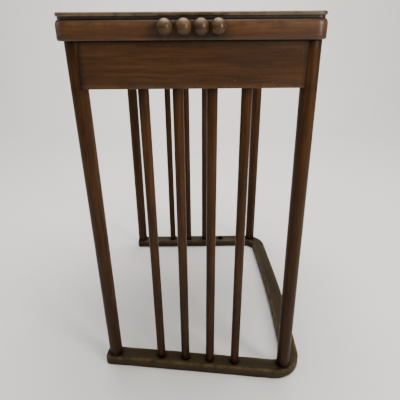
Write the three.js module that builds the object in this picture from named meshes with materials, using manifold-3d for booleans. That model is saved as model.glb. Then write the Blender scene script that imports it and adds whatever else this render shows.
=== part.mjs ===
// Slatted bentwood newspaper stand: a closed top on a bent frame, four round posts,
// slatted ends, four fixed balls on the front and a C-shaped bent foot runner.
// Millimetres, +Z up. X runs across the narrow ends, Y along the long sides.
// The front end faces -Y and the open long side faces -X.
import * as THREE from "three";
import { mergeVertices } from "three/addons/utils/BufferGeometryUtils.js";
import Module from "manifold-3d";

const wasm = await Module();
wasm.setup();

// Overall
const HEIGHT = 756;
const GAP = 0.3; // glue line and clearance between touching pieces

// Posts: spacing of their axes at the top
const POST_SPACING_X = 384;
const POST_SPACING_Y = 570;
const POST_RADIUS = 14.8;
const POST_TENON_RADIUS = 8;
const POST_TENON_INTO_RUNNER = 15;
const POST_TENON_INTO_FRAME = 20;

// Top board and bent top frame
const TOP_OVERHANG_ENDS = 21; // beyond the post axes
const TOP_OVERHANG_LEFT = 24.5;
const TOP_OVERHANG_RIGHT = 20;
const TOP_CORNER_RADIUS = 19;
const LIP_THICKNESS = 6.5;
const LIP_ROUNDING = 3;
const LIP_INSET = 1.7; // behind the frame's face
const GROOVE_HEIGHT = 4;
const GROOVE_DEPTH = 4.5;
const FRAME_HEIGHT = 31;
const FRAME_WIDTH = 42;
const FRAME_ROUNDING = 3;
const FRAME_INNER_RADIUS = 10;

// Aprons
const APRON_HEIGHT = 74.5;
const APRON_THICKNESS = 18;
const APRON_SETBACK = 2.2; // behind the outermost line of the posts
const APRON_LAP = 6.8; // how far its scribed ends reach in front of the posts
const APRON_TENON_THICKNESS = 8;
const APRON_TENON_DEPTH = 10; // into the post
const APRON_TENON_SHOULDER = 10; // above and below the tenon

// Slats
const SLATS_PER_END = 4;
const SLAT_SPACING = 57.8; // in the aprons
const SLAT_ROW_MIDDLE = 2; // the row's middle from the middle between the posts
const SLAT_FOOT_SPACING = 56.5; // in the runner
const SLAT_FOOT_ROW_MIDDLE = 1;
const SLAT_RADIUS = 9.4;
const SLAT_TIP_RADIUS = 7.8;
const SLAT_TAPER_LENGTH = 30;
const SLAT_SOCKET_DEPTH = 14;
const SLAT_TENON_RADIUS = 6;
const SLAT_TENON_LENGTH = 22;
const SLAT_FOOT_INSET = 1; // from the middle line of the runner, towards the inside
const EMPTY_REAR_SLAT = 4; // this rear slat is missing and its sockets stand empty

// Foot runner: the front arm closes in towards its free end
const RUNNER_WIDTH = 38;
const RUNNER_THICKNESS = 24;
const RUNNER_ROUNDING = 3.5;
const RUNNER_REAR_OVERHANG = 16.5; // free ends beyond the left post axes
const RUNNER_FRONT_OVERHANG = 22;
const RUNNER_END_RADIUS = 9;
const RUNNER_REAR_CORNER_X = 215.5;
const RUNNER_BOW_X = 227; // the closed right arm bows outwards
const RUNNER_BOW_Y = -30;
const RUNNER_BOW_RADIUS = 3000;
const RUNNER_FRONT_CORNER_X = 218.3;
const RUNNER_BEND_RADIUS = 43; // of the middle line at both bends
const FRONT_ARM_BACK_AT_LEFT = 33.5; // middle line behind the post line, at the left posts
const FRONT_ARM_FORWARD_AT_RIGHT = 16.5; // and in front of it, at the right posts
const FRONT_RIGHT_FOOT_FORWARD = 9; // this foot from under its head
const FRONT_RIGHT_FOOT_OUT = 4;

// Balls on the front of the frame
const BALL_PLACES = [-41.5, -12.5, 14, 40.5]; // along X from the middle of the front
const BALL_RADIUS = 12.8;
const BALL_STRETCH = 1.05; // slightly taller than wide
const BALL_SEAT = 11.5; // from the ball's middle to its flat seat
const BALL_HEIGHT = 734; // of the balls' middle
const BALL_DOWEL_RADIUS = 3;
const BALL_DOWEL_DEPTH = 9;

// Ledges and blocks under the top
const LEDGE_LENGTH = 344;
const LEDGE_DEPTH = 16;
const LEDGE_HEIGHT = 18;
const LEDGE_RISE = 8; // its underside above the apron's lower edge
const BLOCK_HEIGHT = 38;
const BLOCK_LEG = 50; // of the three-cornered blocks
const BLOCK_LENGTH = 30; // of the plain blocks
const BLOCK_DEPTH = 24;

// Screws
const SCREW_RADIUS = 2;
const SCREW_HEAD_RADIUS = 4;
const SCREW_HEAD_HEIGHT = 2.4;
const SCREW_RECESS = 0.8;
const SCREW_SLOT_WIDTH = 1;
const SCREW_SLOT_DEPTH = 1;
const SCREW_POINT_LENGTH = 4;
const POST_SCREW_LENGTH = 19;
const TOP_SCREW_LENGTH = 24;
const TOP_SCREW_COUNTERBORE = 12;
const BLOCK_SCREW_LENGTH = 50;
const LEDGE_SCREW_LENGTH = 27;
const LEDGE_SCREW_SPACING = 115;
const TOP_SCREW_FROM_APRON = 8; // from the inner face of an apron to a screw's axis
const TOP_SCREW_SPACING_X = 115; // between the two screws at each end
const TOP_SCREW_SPACING_Y = 230; // between the two screws on each long side
const BLOCK_SCREW_FROM_POST_X = 32;
const BLOCK_SCREW_FROM_POST_Y = 17;

// Smoothness
const POST_SEGMENTS = 24;
const SLAT_SEGMENTS = 16;
const BALL_SEGMENTS = 20;
const BALL_RINGS = 12;
const FASTENER_SEGMENTS = 12;
const ARC_SEGMENTS = 4;
const EDGE_SEGMENTS = 3;

// Levels and half sizes that follow from the driving dimensions
const FRAME_TOP = HEIGHT - LIP_THICKNESS - GROOVE_HEIGHT;
const FRAME_BOTTOM = FRAME_TOP - FRAME_HEIGHT;
const APRON_TOP = FRAME_BOTTOM - GAP;
const APRON_BOTTOM = FRAME_BOTTOM - APRON_HEIGHT;
const POST_X = POST_SPACING_X / 2;
const POST_Y = POST_SPACING_Y / 2;
const TOP_HALF_X = POST_X + (TOP_OVERHANG_LEFT + TOP_OVERHANG_RIGHT) / 2;
const TOP_HALF_Y = POST_Y + TOP_OVERHANG_ENDS;
const TOP_MIDDLE_X = (TOP_OVERHANG_RIGHT - TOP_OVERHANG_LEFT) / 2;
const APRON_OUTER = POST_RADIUS - APRON_SETBACK; // apron's outer face from the post line
const APRON_INNER = APRON_OUTER - APRON_THICKNESS;
const APRON_MIDDLE = APRON_OUTER - APRON_THICKNESS / 2;
const REACH = 1000; // longer than anything here, for cutting tools

const BROWN_BAND = { color: 0x5c3e24, roughness: 0.42, metalness: 0 };
const BROWN_APRON = { color: 0x4b3220, roughness: 0.45, metalness: 0 };
const BROWN_POST = { color: 0x462d1e, roughness: 0.45, metalness: 0 };
const BROWN_RUNNER = { color: 0x3c362c, roughness: 0.55, metalness: 0 };
const BROWN_LIP = { color: 0x695f48, roughness: 0.45, metalness: 0 };
const BROWN_BALL = { color: 0x6b5a3c, roughness: 0.35, metalness: 0 };
const PLAIN_WOOD = { color: 0x8a6a45, roughness: 0.7, metalness: 0 };
const STEEL = { color: 0x8c8a86, roughness: 0.4, metalness: 0.9 };

const rack = new THREE.Group();

// ---- Helpers ----

function addMesh(name, solid, finish) {
  const { vertProperties, triVerts } = solid.getMesh();
  const geometry = new THREE.BufferGeometry();
  geometry.setAttribute("position", new THREE.BufferAttribute(vertProperties, 3));
  geometry.setIndex(new THREE.BufferAttribute(triVerts, 1));
  const mesh = new THREE.Mesh(geometry, new THREE.MeshStandardMaterial(finish));
  mesh.name = name;
  rack.add(mesh);
}

function solidFrom(geometry) {
  geometry.deleteAttribute("normal");
  geometry.deleteAttribute("uv");
  const merged = mergeVertices(geometry);
  const vertProperties = new Float32Array(merged.attributes.position.array);
  const triVerts = new Uint32Array(merged.index.array);
  return new wasm.Manifold(new wasm.Mesh({ numProp: 3, vertProperties, triVerts }));
}

function cut(solid, tools) {
  return tools.reduce((rest, tool) => rest.subtract(tool), solid);
}

// A box given by any two opposite corners.
function boxBetween(corner, opposite) {
  const box = new THREE.Box3().setFromPoints([corner, opposite]);
  const size = box.getSize(new THREE.Vector3());
  const middle = box.getCenter(new THREE.Vector3());
  const geometry = new THREE.BoxGeometry(size.x, size.y, size.z);
  geometry.translate(middle.x, middle.y, middle.z);
  return solidFrom(geometry);
}

function slab(bottom, top) {
  return boxBetween(new THREE.Vector3(-REACH, -REACH, bottom), new THREE.Vector3(REACH, REACH, top));
}

// Stands a geometry that was made along +Z on the line from one point towards another.
function alongLine(geometry, from, to) {
  const direction = new THREE.Vector3().subVectors(to, from).normalize();
  const turn = new THREE.Quaternion().setFromUnitVectors(new THREE.Vector3(0, 0, 1), direction);
  const placement = new THREE.Matrix4().compose(from, turn, new THREE.Vector3(1, 1, 1));
  return geometry.applyMatrix4(placement);
}

function rod(from, to, radius, segments) {
  const length = from.distanceTo(to);
  const geometry = new THREE.CylinderGeometry(radius, radius, length, segments);
  geometry.rotateX(Math.PI / 2);
  geometry.translate(0, 0, length / 2);
  return solidFrom(alongLine(geometry, from, to));
}

// A turned piece: its outline of [radius, height] pairs runs from the axis to the axis.
function turned(outline, from, to, segments) {
  const points = outline.map(([radius, height]) => new THREE.Vector2(radius, height));
  const geometry = new THREE.LatheGeometry(points, segments);
  geometry.rotateX(Math.PI / 2);
  return solidFrom(alongLine(geometry, from, to));
}

// The point of a line between a foot and a head at one height.
function pointAtHeight(foot, head, height) {
  return foot.clone().lerp(head, (height - foot.z) / (head.z - foot.z));
}

// A closed outline whose corners are arcs of the given radii.
function roundedPolygon(corners, radii) {
  const shape = new THREE.Shape();
  corners.forEach((corner, index) => {
    const previous = corners[(index + corners.length - 1) % corners.length];
    const next = corners[(index + 1) % corners.length];
    const toPrevious = previous.clone().sub(corner).normalize();
    const toNext = next.clone().sub(corner).normalize();
    const halfAngle = Math.acos(toPrevious.dot(toNext)) / 2;
    const radius = radii[index];
    const start = corner.clone().addScaledVector(toPrevious, radius / Math.tan(halfAngle));
    const end = corner.clone().addScaledVector(toNext, radius / Math.tan(halfAngle));
    const bisector = toPrevious.clone().add(toNext).normalize();
    const centre = corner.clone().addScaledVector(bisector, radius / Math.sin(halfAngle));
    const startAngle = Math.atan2(start.y - centre.y, start.x - centre.x);
    const endAngle = Math.atan2(end.y - centre.y, end.x - centre.x);
    const clockwise = toPrevious.cross(toNext) > 0;
    if (index === 0) {
      shape.moveTo(start.x, start.y);
    } else {
      shape.lineTo(start.x, start.y);
    }
    shape.absarc(centre.x, centre.y, radius, startAngle, endAngle, clockwise);
  });
  shape.closePath();
  return shape;
}

// The top's outline moved inwards, with corners of a given radius.
function topOutline(inset, radius) {
  const corners = [[-1, -1], [1, -1], [1, 1], [-1, 1]];
  const points = corners.map(([x, y]) => new THREE.Vector2(
    TOP_MIDDLE_X + x * (TOP_HALF_X - inset),
    y * (TOP_HALF_Y - inset),
  ));
  return roundedPolygon(points, points.map(() => radius));
}

// A flat shape as a plate between two heights, with its edges rounded inside the shape.
function plate(shape, bottom, top, rounding) {
  const geometry = new THREE.ExtrudeGeometry(shape, {
    depth: top - bottom - 2 * rounding,
    curveSegments: ARC_SEGMENTS,
    bevelEnabled: rounding > 0,
    bevelThickness: rounding,
    bevelSize: rounding,
    bevelOffset: -rounding,
    bevelSegments: EDGE_SEGMENTS,
  });
  geometry.translate(0, 0, bottom + rounding);
  return solidFrom(geometry);
}

// ---- Foot runner: its middle line, with the corners before bending ----

function frontArmY(x) {
  const slope = -(FRONT_ARM_BACK_AT_LEFT + FRONT_ARM_FORWARD_AT_RIGHT) / POST_SPACING_X;
  return -POST_Y + FRONT_ARM_BACK_AT_LEFT + slope * (x + POST_X);
}

const RUNNER_REAR_END_X = -POST_X - RUNNER_REAR_OVERHANG;
const RUNNER_FRONT_END_X = -POST_X - RUNNER_FRONT_OVERHANG;
const RUNNER_LINE = [
  new THREE.Vector2(RUNNER_REAR_END_X, POST_Y),
  new THREE.Vector2(RUNNER_REAR_CORNER_X, POST_Y),
  new THREE.Vector2(RUNNER_BOW_X, RUNNER_BOW_Y),
  new THREE.Vector2(RUNNER_FRONT_CORNER_X, frontArmY(RUNNER_FRONT_CORNER_X)),
  new THREE.Vector2(RUNNER_FRONT_END_X, frontArmY(RUNNER_FRONT_END_X)),
];

function leftNormal(from, to) {
  const direction = to.clone().sub(from).normalize();
  return new THREE.Vector2(-direction.y, direction.x);
}

// The runner's middle line moved sideways; a positive distance is outwards.
function offsetLine(line, distance) {
  return line.map((point, index) => {
    const before = index > 0 ? leftNormal(line[index - 1], point) : null;
    const after = index < line.length - 1 ? leftNormal(point, line[index + 1]) : null;
    const first = before ?? after;
    const second = after ?? before;
    const reach = distance / (1 + first.dot(second));
    return point.clone().addScaledVector(first.clone().add(second), reach);
  });
}

function runnerShape() {
  const half = RUNNER_WIDTH / 2;
  const outer = offsetLine(RUNNER_LINE, half);
  const inner = offsetLine(RUNNER_LINE, -half).reverse();
  const bends = [RUNNER_BEND_RADIUS, RUNNER_BOW_RADIUS, RUNNER_BEND_RADIUS];
  const radii = [half, -half].map((side) => (
    [RUNNER_END_RADIUS, ...bends.map((bend) => bend + side), RUNNER_END_RADIUS]
  ));
  return roundedPolygon([...outer, ...inner], radii.flat());
}

// ---- Where posts and slats stand ----

function postPlaces() {
  const rightFootX = POST_X + FRONT_RIGHT_FOOT_OUT;
  const rightFootY = -POST_Y - FRONT_RIGHT_FOOT_FORWARD;
  const place = (name, x, y, footX, footY) => ({
    name,
    foot: new THREE.Vector3(footX, footY, RUNNER_THICKNESS),
    head: new THREE.Vector3(x, y, FRAME_BOTTOM),
  });
  return [
    place("post_front_left", -POST_X, -POST_Y, -POST_X, frontArmY(-POST_X)),
    place("post_front_right", POST_X, -POST_Y, rightFootX, rightFootY),
    place("post_rear_left", -POST_X, POST_Y, -POST_X, POST_Y),
    place("post_rear_right", POST_X, POST_Y, POST_X, POST_Y),
  ];
}

function slatPlaces(end, side) {
  const places = [];
  for (let number = 1; number <= SLATS_PER_END; number += 1) {
    const steps = number - (SLATS_PER_END + 1) / 2;
    const headX = SLAT_ROW_MIDDLE + steps * SLAT_SPACING;
    const footX = SLAT_FOOT_ROW_MIDDLE + steps * SLAT_FOOT_SPACING;
    const armY = side < 0 ? frontArmY(footX) : POST_Y;
    places.push({
      name: `${end}_slat_${number}`,
      foot: new THREE.Vector3(footX, armY - side * SLAT_FOOT_INSET, RUNNER_THICKNESS),
      head: new THREE.Vector3(headX, side * (POST_Y + APRON_MIDDLE), APRON_BOTTOM),
    });
  }
  return places;
}

const POSTS = postPlaces();
const FRONT_SLATS = slatPlaces("front", -1);
const REAR_SLATS = slatPlaces("rear", 1);

// ---- Screws: countersunk and slotted ----

function screw(start, direction, length) {
  const tip = start.clone().addScaledVector(direction, length);
  const outline = [
    [0, 0],
    [SCREW_HEAD_RADIUS, 0],
    [SCREW_RADIUS, SCREW_HEAD_HEIGHT],
    [SCREW_RADIUS, length - SCREW_POINT_LENGTH],
    [0, length],
  ];
  const slotLength = 4 * SCREW_HEAD_RADIUS; // past both sides of the head
  const slot = new THREE.BoxGeometry(SCREW_SLOT_WIDTH, slotLength, 2 * SCREW_SLOT_DEPTH);
  return turned(outline, start, tip, FASTENER_SEGMENTS).subtract(solidFrom(alongLine(slot, start, tip)));
}

// The clearance hole of a screw, open at its head for the given distance.
function screwHole(start, direction, length, openAtHead) {
  const tip = start.clone().addScaledVector(direction, length + GAP);
  const outline = [
    [0, -openAtHead],
    [SCREW_HEAD_RADIUS + GAP, -openAtHead],
    [SCREW_HEAD_RADIUS + GAP, GAP],
    [SCREW_RADIUS + GAP, SCREW_HEAD_HEIGHT + GAP],
    [SCREW_RADIUS + GAP, length + GAP],
    [0, length + GAP],
  ];
  return turned(outline, start, tip, FASTENER_SEGMENTS);
}

const UP = new THREE.Vector3(0, 0, 1);

function postScrewStarts() {
  return POSTS.map(({ foot }) => new THREE.Vector3(foot.x, foot.y, SCREW_RECESS));
}

function topScrewStarts() {
  const height = FRAME_BOTTOM + TOP_SCREW_COUNTERBORE;
  const endY = POST_Y + APRON_INNER - TOP_SCREW_FROM_APRON;
  const rightX = POST_X + APRON_INNER - TOP_SCREW_FROM_APRON;
  const starts = [];
  for (const side of [-1, 1]) {
    const sideX = side < 0 ? -POST_X : rightX;
    for (const place of [-1, 1]) {
      starts.push(new THREE.Vector3(place * TOP_SCREW_SPACING_X / 2, side * endY, height));
      starts.push(new THREE.Vector3(sideX, place * TOP_SCREW_SPACING_Y / 2, height));
    }
  }
  return starts;
}

const BLOCK_BOTTOM = FRAME_BOTTOM - GAP - BLOCK_HEIGHT;

function blockScrewStarts() {
  const x = POST_X - BLOCK_SCREW_FROM_POST_X;
  const y = POST_Y - BLOCK_SCREW_FROM_POST_Y;
  const starts = [];
  for (const sideX of [-1, 1]) {
    for (const sideY of [-1, 1]) {
      starts.push(new THREE.Vector3(sideX * x, sideY * y, BLOCK_BOTTOM + SCREW_RECESS));
    }
  }
  return starts;
}

// Inner face of the ledge at one end, on that end's side.
const LEDGE_OUTER_Y = POST_Y + APRON_INNER - GAP;
const LEDGE_INNER_Y = LEDGE_OUTER_Y - LEDGE_DEPTH;
const LEDGE_BOTTOM = APRON_BOTTOM + LEDGE_RISE;

function ledgeScrewStarts(side) {
  return [-1, 0, 1].map((step) => new THREE.Vector3(
    step * LEDGE_SCREW_SPACING,
    side * (LEDGE_INNER_Y + SCREW_RECESS),
    LEDGE_BOTTOM + LEDGE_HEIGHT / 2,
  ));
}

function outward(side) {
  return new THREE.Vector3(0, side, 0);
}

// ---- Posts ----

function postBody({ foot, head }, extra) {
  const below = pointAtHeight(foot, head, foot.z - RUNNER_THICKNESS);
  const above = pointAtHeight(foot, head, head.z + RUNNER_THICKNESS);
  return rod(below, above, POST_RADIUS + extra, POST_SEGMENTS);
}

function postTenons({ foot, head }, extra) {
  const bottom = pointAtHeight(foot, head, foot.z - POST_TENON_INTO_RUNNER - extra);
  const top = pointAtHeight(foot, head, head.z + POST_TENON_INTO_FRAME + extra);
  return rod(bottom, top, POST_TENON_RADIUS + extra, POST_SEGMENTS);
}

// The tenons of the end aprons, which run along X into all four posts.
function endApronTenons(side, extra) {
  const middleY = side * (POST_Y + APRON_MIDDLE);
  const half = APRON_TENON_THICKNESS / 2 + extra;
  const tipX = POST_X - POST_RADIUS + APRON_TENON_DEPTH + extra;
  const low = APRON_BOTTOM + APRON_TENON_SHOULDER - extra;
  const high = APRON_TOP - APRON_TENON_SHOULDER + extra;
  return boxBetween(
    new THREE.Vector3(-tipX, middleY - half, low),
    new THREE.Vector3(tipX, middleY + half, high),
  );
}

// The tenons of the side apron, which run along Y into the two right posts.
function sideApronTenons(extra) {
  const middleX = POST_X + APRON_MIDDLE;
  const half = APRON_TENON_THICKNESS / 2 + extra;
  const tipY = POST_Y - POST_RADIUS + APRON_TENON_DEPTH + extra;
  const low = APRON_BOTTOM + APRON_TENON_SHOULDER - extra;
  const high = APRON_TOP - APRON_TENON_SHOULDER + extra;
  return boxBetween(
    new THREE.Vector3(middleX - half, -tipY, low),
    new THREE.Vector3(middleX + half, tipY, high),
  );
}

function addPosts() {
  const mortises = [endApronTenons(-1, GAP), endApronTenons(1, GAP), sideApronTenons(GAP)];
  const screwHoles = postScrewStarts().map((start) => screwHole(start, UP, POST_SCREW_LENGTH, 0));
  POSTS.forEach((post) => {
    const body = postBody(post, 0).intersect(slab(RUNNER_THICKNESS + GAP, FRAME_BOTTOM - GAP));
    const whole = body.add(postTenons(post, 0));
    addMesh(post.name, cut(whole, [...mortises, ...screwHoles]), BROWN_POST);
  });
}

// ---- Slats ----

function slatFoot({ foot, head }, extra, length) {
  const start = pointAtHeight(foot, head, foot.z - SLAT_SOCKET_DEPTH - extra);
  const outline = [
    [0, 0],
    [SLAT_TIP_RADIUS + extra, 0],
    [SLAT_RADIUS + extra, SLAT_TAPER_LENGTH],
    [SLAT_RADIUS + extra, length],
    [0, length],
  ];
  return turned(outline, start, head, SLAT_SEGMENTS);
}

function slatTenon({ foot, head }, extra) {
  const bottom = pointAtHeight(foot, head, head.z - SLAT_TENON_LENGTH);
  const top = pointAtHeight(foot, head, head.z + SLAT_TENON_LENGTH + extra);
  return rod(bottom, top, SLAT_TENON_RADIUS + extra, FASTENER_SEGMENTS);
}

function addSlats(slats) {
  slats.forEach((slat) => {
    const body = slatFoot(slat, 0, REACH).intersect(slab(0, APRON_BOTTOM - GAP));
    addMesh(slat.name, body.add(slatTenon(slat, 0)), BROWN_POST);
  });
}

// ---- Foot runner ----

function addRunner() {
  const blank = plate(runnerShape(), 0, RUNNER_THICKNESS, RUNNER_ROUNDING);
  const slatSockets = [...FRONT_SLATS, ...REAR_SLATS].map((slat) => slatFoot(slat, GAP, REACH / 2));
  const postSockets = POSTS.map((post) => postTenons(post, GAP));
  const screwHoles = postScrewStarts().map((start) => (
    screwHole(start, UP, POST_SCREW_LENGTH, 2 * SCREW_RECESS)
  ));
  addMesh("base_runner", cut(blank, [...slatSockets, ...postSockets, ...screwHoles]), BROWN_RUNNER);
}

// ---- Aprons ----

function addAprons() {
  const postSpaces = POSTS.map((post) => postBody(post, GAP));
  for (const [end, side, slats] of [["front", -1, FRONT_SLATS], ["rear", 1, REAR_SLATS]]) {
    const board = boxBetween(
      new THREE.Vector3(APRON_LAP - POST_X, side * (POST_Y + APRON_INNER), APRON_BOTTOM),
      new THREE.Vector3(POST_X - APRON_LAP, side * (POST_Y + APRON_OUTER), APRON_TOP),
    );
    const slatSockets = slats.map((slat) => slatTenon(slat, GAP));
    const screwHoles = ledgeScrewStarts(side).map((start) => (
      screwHole(start, outward(side), LEDGE_SCREW_LENGTH, 0)
    ));
    const whole = cut(board, postSpaces).add(endApronTenons(side, 0));
    addMesh(`${end}_apron`, cut(whole, [...slatSockets, ...screwHoles]), BROWN_APRON);
  }
  const sideBoard = boxBetween(
    new THREE.Vector3(POST_X + APRON_INNER, APRON_LAP - POST_Y, APRON_BOTTOM),
    new THREE.Vector3(POST_X + APRON_OUTER, POST_Y - APRON_LAP, APRON_TOP),
  );
  addMesh("side_apron", cut(sideBoard, postSpaces).add(sideApronTenons(0)), BROWN_APRON);
}

// ---- Ledges inside the end aprons, and blocks in the corners ----

function addLedges() {
  for (const [end, side] of [["front", -1], ["rear", 1]]) {
    const bar = boxBetween(
      new THREE.Vector3(-LEDGE_LENGTH / 2, side * LEDGE_INNER_Y, LEDGE_BOTTOM),
      new THREE.Vector3(LEDGE_LENGTH / 2, side * LEDGE_OUTER_Y, LEDGE_BOTTOM + LEDGE_HEIGHT),
    );
    const screwHoles = ledgeScrewStarts(side).map((start) => (
      screwHole(start, outward(side), LEDGE_SCREW_LENGTH, 2 * SCREW_RECESS)
    ));
    addMesh(`${end}_ledge`, cut(bar, screwHoles), PLAIN_WOOD);
  }
}

// Three-cornered where two aprons meet, and a plain block on the open side.
function blockShape(sideX, sideY) {
  const innerX = POST_X + APRON_INNER - GAP;
  const innerY = POST_Y + APRON_INNER - GAP;
  const plainX = POST_X - POST_RADIUS - 2 * GAP;
  const corners = sideX > 0
    ? [[innerX, innerY], [innerX - BLOCK_LEG, innerY], [innerX, innerY - BLOCK_LEG]]
    : [[plainX, innerY], [plainX - BLOCK_LENGTH, innerY],
      [plainX - BLOCK_LENGTH, innerY - BLOCK_DEPTH], [plainX, innerY - BLOCK_DEPTH]];
  return new THREE.Shape(corners.map(([x, y]) => new THREE.Vector2(sideX * x, sideY * y)));
}

function addBlocks() {
  const postSpaces = POSTS.map((post) => postBody(post, GAP));
  const screwHoles = blockScrewStarts().map((start) => (
    screwHole(start, UP, BLOCK_SCREW_LENGTH, 2 * SCREW_RECESS)
  ));
  for (const [end, sideY] of [["front", -1], ["rear", 1]]) {
    for (const [side, sideX] of [["left", -1], ["right", 1]]) {
      const blank = plate(blockShape(sideX, sideY), BLOCK_BOTTOM, FRAME_BOTTOM - GAP, 0);
      addMesh(`corner_block_${end}_${side}`, cut(blank, [...postSpaces, ...screwHoles]), PLAIN_WOOD);
    }
  }
}

// ---- Top frame and top board ----

function addTop(ballHoles) {
  const outline = topOutline(0, TOP_CORNER_RADIUS);
  outline.holes.push(topOutline(FRAME_WIDTH, FRAME_INNER_RADIUS));
  const frame = plate(outline, FRAME_BOTTOM, FRAME_TOP, FRAME_ROUNDING);
  const postSockets = POSTS.map((post) => postTenons(post, GAP));
  const topHoles = topScrewStarts().map((start) => (
    screwHole(start, UP, TOP_SCREW_LENGTH, 2 * TOP_SCREW_COUNTERBORE)
  ));
  const blockHoles = blockScrewStarts().map((start) => screwHole(start, UP, BLOCK_SCREW_LENGTH, 0));
  addMesh("top_frame", cut(frame, [...postSockets, ...topHoles, ...blockHoles, ...ballHoles]), BROWN_BAND);

  const lipShape = topOutline(LIP_INSET, TOP_CORNER_RADIUS - LIP_INSET);
  const lip = plate(lipShape, HEIGHT - LIP_THICKNESS, HEIGHT, LIP_ROUNDING);
  const stepShape = topOutline(GROOVE_DEPTH, TOP_CORNER_RADIUS - GROOVE_DEPTH);
  const step = plate(stepShape, FRAME_TOP + GAP, HEIGHT - LIP_THICKNESS / 2, 0);
  addMesh("top_board", cut(lip.add(step), topHoles), BROWN_LIP);
}

// ---- Balls ----

const BALL_SEAT_Y = -TOP_HALF_Y - GAP;

function ballMiddles() {
  return BALL_PLACES.map((place) => (
    new THREE.Vector3(TOP_MIDDLE_X + place, BALL_SEAT_Y - BALL_SEAT, BALL_HEIGHT)
  ));
}

function ballDowels(extra) {
  return ballMiddles().map(({ x, z }) => {
    const from = new THREE.Vector3(x, BALL_SEAT_Y - BALL_DOWEL_DEPTH - extra, z);
    const to = new THREE.Vector3(x, BALL_SEAT_Y + BALL_DOWEL_DEPTH + extra, z);
    return rod(from, to, BALL_DOWEL_RADIUS + extra, FASTENER_SEGMENTS);
  });
}

function addBalls() {
  const holes = ballDowels(GAP);
  const front = boxBetween(
    new THREE.Vector3(-REACH, -REACH, 0),
    new THREE.Vector3(REACH, BALL_SEAT_Y, REACH),
  );
  ballMiddles().forEach((middle, index) => {
    const geometry = new THREE.SphereGeometry(BALL_RADIUS, BALL_SEGMENTS, BALL_RINGS);
    geometry.scale(1, 1, BALL_STRETCH);
    geometry.translate(middle.x, middle.y, middle.z);
    addMesh(`ball_${index + 1}`, cut(solidFrom(geometry).intersect(front), holes), BROWN_BALL);
  });
  ballDowels(0).forEach((dowel, index) => addMesh(`ball_dowel_${index + 1}`, dowel, PLAIN_WOOD));
}

// ---- Fasteners ----

function addScrews(name, starts, direction, length) {
  starts.forEach((start, index) => {
    addMesh(`${name}_${index + 1}`, screw(start, direction, length), STEEL);
  });
}

addRunner();
addPosts();
addSlats(FRONT_SLATS);
addSlats(REAR_SLATS.filter((slat, index) => index + 1 !== EMPTY_REAR_SLAT));
addAprons();
addLedges();
addBlocks();
addTop(ballDowels(GAP));
addBalls();
addScrews("post_screw", postScrewStarts(), UP, POST_SCREW_LENGTH);
addScrews("top_screw", topScrewStarts(), UP, TOP_SCREW_LENGTH);
addScrews("block_screw", blockScrewStarts(), UP, BLOCK_SCREW_LENGTH);
addScrews("front_ledge_screw", ledgeScrewStarts(-1), outward(-1), LEDGE_SCREW_LENGTH);
addScrews("rear_ledge_screw", ledgeScrewStarts(1), outward(1), LEDGE_SCREW_LENGTH);

// The origin is the middle of the stand's outline, on the floor.
const bounds = new THREE.Box3().setFromObject(rack);
const middle = bounds.getCenter(new THREE.Vector3());
rack.position.set(-middle.x, -middle.y, 0);

export default rack;
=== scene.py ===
"""Looks for the slatted bentwood newspaper stand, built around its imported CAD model. Metres, +Z up."""
import math

import bmesh
import bpy
from mathutils import Matrix, Vector, noise


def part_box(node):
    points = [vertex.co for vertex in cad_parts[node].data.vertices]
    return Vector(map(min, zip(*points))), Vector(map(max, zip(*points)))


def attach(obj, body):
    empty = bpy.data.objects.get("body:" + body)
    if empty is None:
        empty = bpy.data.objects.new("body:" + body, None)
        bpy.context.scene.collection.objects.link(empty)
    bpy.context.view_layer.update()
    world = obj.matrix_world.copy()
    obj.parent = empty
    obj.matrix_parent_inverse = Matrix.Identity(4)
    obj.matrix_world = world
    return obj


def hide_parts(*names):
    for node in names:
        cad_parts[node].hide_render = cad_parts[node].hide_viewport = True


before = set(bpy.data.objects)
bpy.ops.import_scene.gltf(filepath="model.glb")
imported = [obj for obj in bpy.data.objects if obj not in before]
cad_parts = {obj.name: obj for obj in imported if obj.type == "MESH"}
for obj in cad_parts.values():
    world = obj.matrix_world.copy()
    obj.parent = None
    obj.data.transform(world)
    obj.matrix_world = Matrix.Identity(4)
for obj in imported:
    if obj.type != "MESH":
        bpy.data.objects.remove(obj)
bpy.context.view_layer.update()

MM = 0.001

# Clearance that the CAD model keeps between touching pieces
GAP = 0.3 * MM

# Directions
UP = Vector((0, 0, 1))
FORWARD = Vector((0, -1, 0))
BACKWARD = Vector((0, 1, 0))
THROUGH = 30 * MM  # how far cutting tools reach beyond a piece
JOINED = 0.01 * MM  # points closer together than this are one

# Meshes
SMOOTH_ANGLE = math.radians(32)
BOARD_STEP = 9 * MM  # between the points of a board's faces
EDGE_BULGE = 0.29  # place of the middle point in a rounded edge, as a share of the rounding

# Posts and slats
POST_RADIUS = 14.8 * MM
POST_FOOT_RADIUS = 14.5 * MM
POST_TENON_RADIUS = 8 * MM
POST_EDGE = 1.2 * MM
SLAT_RADIUS = 9.4 * MM
SLAT_TIP_RADIUS = 7.8 * MM
SLAT_TENON_RADIUS = 6 * MM
SLAT_TIP_EDGE = 0.8 * MM
SLAT_TAPER_LENGTH = 30 * MM
SHOULDER = 0.01 * MM  # the height in which a turned body steps to its tenon
TURNED_SEGMENTS = 56
TURNED_STEP = 12 * MM
TURNED_WOBBLE = 0.12 * MM
FOOT_SHADE_HEIGHT = 520 * MM  # of the painted shade that fades upwards from the feet
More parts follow.
